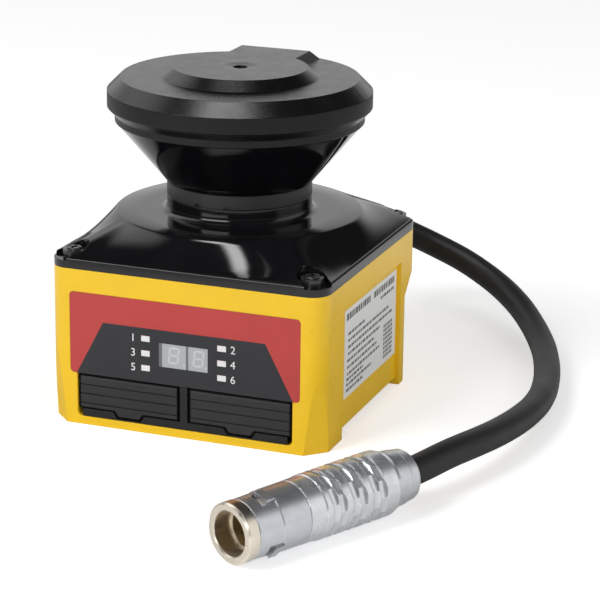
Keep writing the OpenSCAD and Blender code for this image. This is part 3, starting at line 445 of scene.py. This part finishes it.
def outline_points():
    """(angle, distance) pairs round the housing's rounded square, dense at the corners."""
    pts = []
    for sx, sy, r, turn in ((1, 1, REAR_CORNER_R, 0), (-1, 1, REAR_CORNER_R, 90),
                            (-1, -1, FRONT_CORNER_R, 180), (1, -1, FRONT_CORNER_R, 270)):
        for k in range(CORNER_STEPS + 1):
            a = math.radians(turn + 90 * k / CORNER_STEPS)
            x, y = sx * (HALF - r) + r * math.cos(a), sy * (HALF - r) + r * math.sin(a)
            pts.append((math.atan2(y, x) % (2 * math.pi), math.hypot(x, y)))
    pts.sort()
    full = []
    for (a0, r0), (a1, _) in zip(pts, pts[1:] + [(pts[0][0] + 2 * math.pi, pts[0][1])]):
        full.append((a0, r0))
        if a1 - a0 > SIDE_ANGLE:
            for k in range(1, SIDE_STEPS):
                a = a0 + (a1 - a0) * k / SIDE_STEPS
                full.append((a, HALF / max(abs(math.cos(a)), abs(math.sin(a)))))
    return full


OUTLINE = outline_points()


def cover_ring(blend, z, inset=0.0):
    """Ring part-way from the housing's outline (blend 0) to the plateau's circle (blend 1)."""
    ring = []
    for a, far in OUTLINE:
        corner = min(max((far - CORNER_FROM) / CORNER_SPAN, 0), 1)
        hollow = 1 + (REAR_HOLLOW if math.sin(a) > 0 else FRONT_HOLLOW) * corner
        part = max(blend ** hollow, LEAST_BLEND) if blend else 0
        r = (far - inset) * (1 - part) + PLATEAU_R * part
        ring.append((r * math.cos(a), r * math.sin(a), z))
    return ring


def circle_ring(r, z):
    return [(r * math.cos(a), r * math.sin(a), z) for a, _ in OUTLINE]


# Band, its rounded top edge, and the slope up to the plateau
rings = [cover_ring(0, COVER_Z)]
for degrees in (0, 18, 36, 54, 72):
    c, s = math.cos(math.radians(degrees)), math.sin(math.radians(degrees))
    rings.append(cover_ring(0, EDGE_Z + EDGE_R * s, EDGE_R * (1 - c)))
for k in range(SLOPE_RINGS):
    t = SLOPE_END * k / (SLOPE_RINGS - 1)
    rings.append(cover_ring(max(t, 0.001), SLOPE_Z + SLOPE_RISE * (1 - (1 - t) ** SLOPE_POWER),
                            SLOPE_INSET * (1 - t)))
# The plateau's soft shoulder, the plateau, and the flare that turns up into the neck
for r, z in ((34.15, 54.86), (33.8, PLATEAU_Z), (27, PLATEAU_Z), (22.9, PLATEAU_Z),
             (FLARE_OUT_R, PLATEAU_Z + 0.02)):
    rings.append(circle_ring(r, z))
for degrees in (15, 30, 45, 60, 75, 90):
    c, s = math.cos(math.radians(degrees)), math.sin(math.radians(degrees))
    rings.append(circle_ring(FLARE_OUT_R - FLARE_R * s, PLATEAU_Z + FLARE_R * (1 - c)))
# Neck, bore and underside
for r, z in ((NECK_R, 57.4), (NECK_R, NECK_TOP_Z - 0.2), (NECK_R - 0.2, NECK_TOP_Z),
             (BORE_R, NECK_TOP_Z), (BORE_R, CEILING_Z), (CEILING_R, CEILING_Z), (RIM_R, COVER_Z)):
    rings.append(circle_ring(r, z))
cover = ring_solid("cover_shell", rings)
with editing(cover.data) as bm:
    bmesh.ops.remove_doubles(bm, verts=bm.verts, dist=2e-6)
    bmesh.ops.dissolve_degenerate(bm, edges=bm.edges, dist=2e-6)
    bmesh.ops.recalc_face_normals(bm, faces=bm.faces)

# Screw pockets, open towards the corners, and the screw holes in their floors
SCREW_XY = 34.5
POCKET_R, POCKET_WIDTH, POCKET_SIZE, POCKET_Z = 4.1, 7.9, 20, 56.3
HOLE_R, HOLE_DEPTH, HOLE_Z = 1.7, 12, 46


def add_cylinder(bm, place, radius, depth):
    bmesh.ops.create_cone(bm, cap_ends=True, segments=64, radius1=radius * MM, radius2=radius * MM,
                          depth=depth * MM, matrix=place)


def add_box(bm, place, size):
    for v in bmesh.ops.create_cube(bm, size=1.0)["verts"]:
        v.co = place @ Vector([c * length * MM for c, length in zip(v.co, size)])


def cut(target, cutter):
    """Cuts the closed solids of the cutter out of the target's mesh."""
    mod = target.modifiers.new("cut", "BOOLEAN")
    mod.operation = "DIFFERENCE"
    mod.solver = "EXACT"
    mod.object = cutter
    mod.use_self = True
    graph = bpy.context.evaluated_depsgraph_get()
    mesh = bpy.data.meshes.new_from_object(target.evaluated_get(graph))
    target.modifiers.clear()
    target.data = mesh
    bpy.data.objects.remove(cutter)


cutter = link("cutter", bpy.data.meshes.new("cutter"))
with editing(cutter.data) as bm:
    for sx, sy in ((-1, -1), (-1, 1), (1, -1), (1, 1)):
        x, y = sx * SCREW_XY, sy * SCREW_XY
        pocket = Matrix.Translation(Vector((x, y, POCKET_Z)) * MM)
        outward = Matrix.Rotation(math.atan2(sy, sx), 4, "Z")
        half_way = Matrix.Translation(Vector((POCKET_SIZE / 2, 0, 0)) * MM)
        add_cylinder(bm, pocket, POCKET_R, POCKET_SIZE)
        add_box(bm, pocket @ outward @ half_way, (POCKET_SIZE, POCKET_WIDTH, POCKET_SIZE))
        add_cylinder(bm, Matrix.Translation(Vector((x, y, HOLE_Z)) * MM), HOLE_R, HOLE_DEPTH)
cut(cover, cutter)
soften(cover.data, 32)
dress(cover, GLOSS)
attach(cover, "housing")
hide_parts("top_cover")

# ---------------------------------------------------------------- front panel artwork
# All in mm: layers of print before the front face, which lies 40 mm from the middle
RIM_DEPTH, PANEL_DEPTH, SEGMENT_DEPTH, NUMERAL_DEPTH = 40.0, 40.01, 40.02, 40.03
LED_X, LED_Z, LED_PITCH = 11.1, 18.7, 4.17
LED_HALF_W, LED_HALF_H = 1.3, 0.85
NUMERAL_SIZE, NUMERAL_Z, EVEN_X, ODD_X = 3.1, 17.6, 13.6, -15.5
DISPLAY_X, DISPLAY_LOW, DISPLAY_HIGH = 7.1, 19.5, 26.5
DIGIT_Z, DIGIT_W, DIGIT_H, SEGMENT_T, DIGIT_LEAN = 20.9, 3.1, 4.7, 0.5, 0.1
PANEL_T, PRINT_T, THIN_T = 0.03, 0.014, 0.01


def on_front(depth, x=0, z=0):
    """Place for flat art on the front: x right, z up, depth in mm before the middle."""
    facing = Matrix(((1, 0, 0, 0), (0, 0, -1, 0), (0, 1, 0, 0), (0, 0, 0, 1)))
    return facing @ Matrix.Translation((x, z, depth))


def ride_print(obj, material):
    dress(obj, material)
    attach(obj, "housing")


def numeral(number, x, z):
    """A plain figure as a thin printed piece with its lower left corner at (x, z)."""
    curve = bpy.data.curves.new("figure", "FONT")
    curve.body = str(number)
    curve.size = NUMERAL_SIZE
    curve.extrude = THIN_T
    return curve_to_mesh("figure", curve, on_front(NUMERAL_DEPTH, x, z))


def join(objs, name):
    """One object from several."""
    mesh = bpy.data.meshes.new(name)
    with editing(mesh) as bm:
        for obj in objs:
            bm.from_mesh(obj.data)
            bpy.data.objects.remove(obj)
    return link(name, mesh)


# The dark panel with openings for the display and the lights
panel_loops = [[(-31.6, 14.76), (31.6, 14.76), (23.6, 30.0), (-23.6, 30.0)],
               rect(-DISPLAY_X, 19.7, DISPLAY_X, 26.35)]
for side in (-1, 1):
    for row in range(3):
        x, z = side * LED_X, LED_Z + LED_PITCH * row
        panel_loops.append(rect(x - LED_HALF_W, z - LED_HALF_H, x + LED_HALF_W, z + LED_HALF_H))
ride_print(flat_art("panel_print", panel_loops, on_front(PANEL_DEPTH), PANEL_T), DARK_PANEL)

# Numerals 1 to 6 beside the lights, odd on the left and even on the right, counted downwards
figures = []
for row in range(3):
    z = NUMERAL_Z + LED_PITCH * row
    figures += [numeral(6 - 2 * row, EVEN_X, z), numeral(5 - 2 * row, ODD_X, z)]
ride_print(join(figures, "led_numerals"), PRINT_WHITE)


def eight(middle_x, low_z):
    """Seven slanted segments of a figure eight."""
    w, h, t = DIGIT_W, DIGIT_H, SEGMENT_T
    bars = [(0.55, 0, w - 0.55, t), (0.55, (h - t) / 2, w - 0.55, (h + t) / 2),
            (0.55, h - t, w - 0.55, h)]
    for x in (0, w - t):
        bars += [(x, 0.3, x + t, h / 2 - 0.15), (x, h / 2 + 0.15, x + t, h - 0.3)]
    return [[(middle_x - w / 2 + x + DIGIT_LEAN * y, low_z + y) for x, y in rect(*b)] for b in bars]


# Display: the darker rim, two grey digit plates on it, and slanted segments and dots on these
plates = [rect(x0, DISPLAY_LOW, x1, DISPLAY_HIGH) for x0, x1 in ((-6.15, 0.78), (1.5, DISPLAY_X))]
segments = eight(-3.0, DIGIT_Z) + eight(4.2, DIGIT_Z)
segments += [rect(0.05, 20.7, 0.5, 21.2), rect(6.3, 20.7, 6.75, 21.2)]
rim = rect(-DISPLAY_X, DISPLAY_LOW, DISPLAY_X, DISPLAY_HIGH)
ride_print(flat_art("display_rim", [rim], on_front(RIM_DEPTH), THIN_T), DIGIT_GAP)
ride_print(flat_art("display_plates", plates, on_front(PANEL_DEPTH), PRINT_T), DIGIT_FACE)
ride_print(flat_art("display_segments", segments, on_front(SEGMENT_DEPTH), PRINT_T), SEGMENT)

# ---------------------------------------------------------------- rating label's bars and blocks
# Place on the right side: y to the rear, z up
LABEL_PLACE = (Matrix(((0, 0, 1, 0), (1, 0, 0, 0), (0, 1, 0, 0), (0, 0, 0, 1)))
               @ Matrix.Translation((0, 0, 38.955)))
# Rows as (start, end, height above the base, height of bars, length of bars, gap)
HEAD_ROWS = [(-18.9, 1.0, 31.9, 1.9, 1.5, 0.45), (3.6, 21.2, 31.9, 1.9, 1.3, 0.45),
             (9.5, 20.8, 29.9, 0.9, 1.6, 0.4)]
SMALL_BARS = (0.8, 1.9, 0.5)
SMALL_ROWS = [(-17.5, -4, 27.4), (-17.5, 16.5, 25.5), (-17.5, 20, 23.6), (-17.5, 9, 21.7),
              (-18, 4, 19.8), (-18, 6.5, 17.9), (-18, 9.5, 16.0), (-18.4, -5, 14.5),
              (-18.4, 2.5, 13.0), (-18.6, -4.5, 11.4)]
LEAST_BAR = 0.4
BLOCK_COLUMNS, BLOCK_ROWS = 6, 8
BLOCK_Y, BLOCK_Z, BLOCK_PITCH, BLOCK_SIZE = 12.6, 11.4, 1.3, 0.9


def words(y0, y1, z, height, length, gap):
    """A row of short bars of mixed length between y0 and y1, none starting close to y1."""
    bars = []
    y, step = y0, int(z)
    while y < y1 - LEAST_BAR:
        w = length * (0.5 + ((step * 5) % 4) / 4)
        bars.append(rect(y, z, min(y + w, y1), z + height))
        y += w + gap
        step += 3
    return bars


bars = []
for row in HEAD_ROWS + [(*row, *SMALL_BARS) for row in SMALL_ROWS]:
    bars += words(*row)
for i in range(BLOCK_COLUMNS):
    for k in range(BLOCK_ROWS):
        y, z = BLOCK_Y + BLOCK_PITCH * i, BLOCK_Z + BLOCK_PITCH * k
        bars.append(rect(y, z, y + BLOCK_SIZE, z + BLOCK_SIZE))
ride_print(flat_art("rating_print", bars, LABEL_PLACE, THIN_T), PRINT_DARK)

# ---------------------------------------------------------------- hatch rims: painted gap shadow
# Thin dark strips along the hatches' outlines, painted shadow that widens the shaded gaps round
# them, sizes in mm
HATCH_DEPTH = 39.81
RIM_FROM, RIM_TO = 0.02, 0.42
HATCH_X0, HATCH_X1, HATCH_Z0, HATCH_Z1 = 1.6, 31, 4.7, 14.5
TAB_X, TAB_TOP_HALF_W, TAB_LOW_HALF_W, TAB_DROP = 16.3, 4.4, 3.3, 1.6
# Share of the strip's width along the lower edge and on each side of the tab
LOW_SHARE, TAB_SHARE = 0.8, 0.7


def hatch_outline(rim):
    """The right hatch's front outline with its finger tab, drawn in by rim."""
    x0, x1, low, high = HATCH_X0 + rim, HATCH_X1 - rim, HATCH_Z0 + rim * LOW_SHARE, HATCH_Z1 - rim
    top_half, low_half = TAB_TOP_HALF_W - rim * TAB_SHARE, TAB_LOW_HALF_W - rim * TAB_SHARE
    return [(x0, high), (x1, high), (x1, low), (TAB_X + top_half, low),
            (TAB_X + low_half, low - TAB_DROP), (TAB_X - low_half, low - TAB_DROP),
            (TAB_X - top_half, low), (x0, low)]


# Each hatch carries a near-black strip of painted shadow along its edge
for side, body in ((-1, "left_hatch"), (1, "right_hatch")):
    loops = [[(side * x, z) for x, z in hatch_outline(rim)] for rim in (RIM_FROM, RIM_TO)]
    gap_shadow_strip = flat_art(body + "_rim", loops, on_front(HATCH_DEPTH), PRINT_T)
    dress(gap_shadow_strip, GAP_SHADOW)
    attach(gap_shadow_strip, body)

# ---------------------------------------------------------------- floor
FLOOR_HALF = 6
FLOOR_DROP = 0.00002
FLOOR_WHITE = (0.86, 0.86, 0.86, 1.0)
BLACK = (0.0, 0.0, 0.0, 1.0)
FLOOR_GLOW = 0.5

floor_corners = [(x, y, 0) for x, y in rect(-FLOOR_HALF, -FLOOR_HALF, FLOOR_HALF, FLOOR_HALF)]
floor_mesh = bpy.data.meshes.new("floor")
floor_mesh.from_pydata(floor_corners, [], [(0, 1, 2, 3)])
floor = link("floor", floor_mesh)
floor.location.z = -FLOOR_DROP
floor_white = bpy.data.materials.new("floor")
tree = empty_tree(floor_white)
path = node(tree, "ShaderNodeLightPath").outputs
coord = node(tree, "ShaderNodeTexCoord").outputs["Object"]
away = node(tree, "ShaderNodeVectorMath", {0: coord}, operation="LENGTH").outputs["Value"]
# In reflections the floor is bright in a pool round the object and darker near and far, in m
pool = product(tree, spread(tree, away, 0.4, 1.0, 0.06, 0.16),
               spread(tree, away, 1.0, 0.35, 0.2, 0.42))
bright = mix(tree, "FLOAT", path["Is Glossy Ray"], 1.0, pool)
diffuse = node(tree, "ShaderNodeBsdfDiffuse",
               {"Color": mix(tree, "RGBA", bright, BLACK, FLOOR_WHITE)})
# The camera, and reflections of the pool, see some light added, so that the floor is white there
lift = calc(tree, "MULTIPLY_ADD", path["Is Glossy Ray"], spread(tree, pool, 0.0, 0.6, 0.35, 1.0),
            path["Is Camera Ray"])
glow = node(tree, "ShaderNodeEmission", {"Strength": product(tree, lift, FLOOR_GLOW)})
both = node(tree, "ShaderNodeAddShader", {0: diffuse.outputs[0], 1: glow.outputs[0]})
node(tree, "ShaderNodeOutputMaterial", {"Surface": both.outputs[0]})
dress(floor, floor_white)

# ---------------------------------------------------------------- world
world = bpy.data.worlds.new("studio")
scene.world = world
tree = empty_tree(world)
path = node(tree, "ShaderNodeLightPath").outputs
coord = node(tree, "ShaderNodeTexCoord").outputs["Generated"]
dx, dy, dz = node(tree, "ShaderNodeSeparateXYZ", {0: coord}).outputs


def towards(x, y):
    """How far a ray's direction points along a level direction."""
    return calc(tree, "ADD", product(tree, dx, x), product(tree, dy, y))


# What glossy surfaces see: a backdrop behind, softboxes overhead, ahead, right and left, in this
# order, and nearly nothing elsewhere. Each row has a strength and the smooth edges of its box,
# which are (component of the ray's direction, where it is 0, where it is 1).
behind, ahead, aside = towards(-0.454, 0.891), towards(-0.309, -0.951), towards(0.951, -0.309)
BOXES = (
    (1.0, ((behind, 0.62, 0.86), (dz, 0.6, 0.42))),
    (13, ((dz, 0.78, 0.88), (dx, -0.4, -0.2), (dx, 0.32, 0.14), (dy, -0.42, -0.32),
          (dy, -0.15, -0.24))),
    (6, ((ahead, 0.2, 0.4), (aside, -0.4, -0.32), (aside, 0.4, 0.32), (dz, 0.08, 0.12),
         (dz, 0.46, 0.4))),
    (1.1, ((dx, 0.5, 0.85), (dz, 0.8, 0.6), (dy, -0.25, 0.05))),
    (1.6, ((dx, -0.55, -0.68), (dz, 0.4, 0.5), (dz, 0.85, 0.75))),
)
DARK_ROOM = 0.03
LIGHT_LEVEL = 0.8

reflected = DARK_ROOM
for strength, edges in BOXES:
    box = product(tree, *(ramp(tree, *edge) for edge in edges), strength)
    reflected = calc(tree, "ADD", reflected, box)
# What matt surfaces gather: a light that is even low down and weaker overhead
gathered = spread(tree, dz, 0.95, 0.25, 0.25, 0.75)
lit = product(tree, mix(tree, "FLOAT", path["Is Glossy Ray"], gathered, reflected), LIGHT_LEVEL)
# The camera itself sees white
back = node(tree, "ShaderNodeBackground",
            {"Color": (1, 1, 1, 1), "Strength": calc(tree, "MAXIMUM", path["Is Camera Ray"], lit)})
node(tree, "ShaderNodeOutputWorld", {"Surface": back.outputs[0]})

# ---------------------------------------------------------------- lamps
LAMP_AIM = Vector((0, 0, 0.05))


def area(name, place, side, power):
    """Square lamp aimed at the object, kept out of reflections."""
    light = bpy.data.lights.new(name, "AREA")
    light.shape = "RECTANGLE"
    light.size = light.size_y = side
    light.energy = power
    lamp = link(name, light)
    lamp.location = place
    lamp.rotation_mode = "QUATERNION"
    lamp.rotation_quaternion = (LAMP_AIM - Vector(place)).to_track_quat("-Z", "Y")
    lamp.visible_glossy = False


area("key", (-0.5, -0.9, 0.9), 0.5, 9)
area("fill", (0.9, -0.4, 0.5), 0.6, 2.5)

scene.view_settings.view_transform = "Standard"
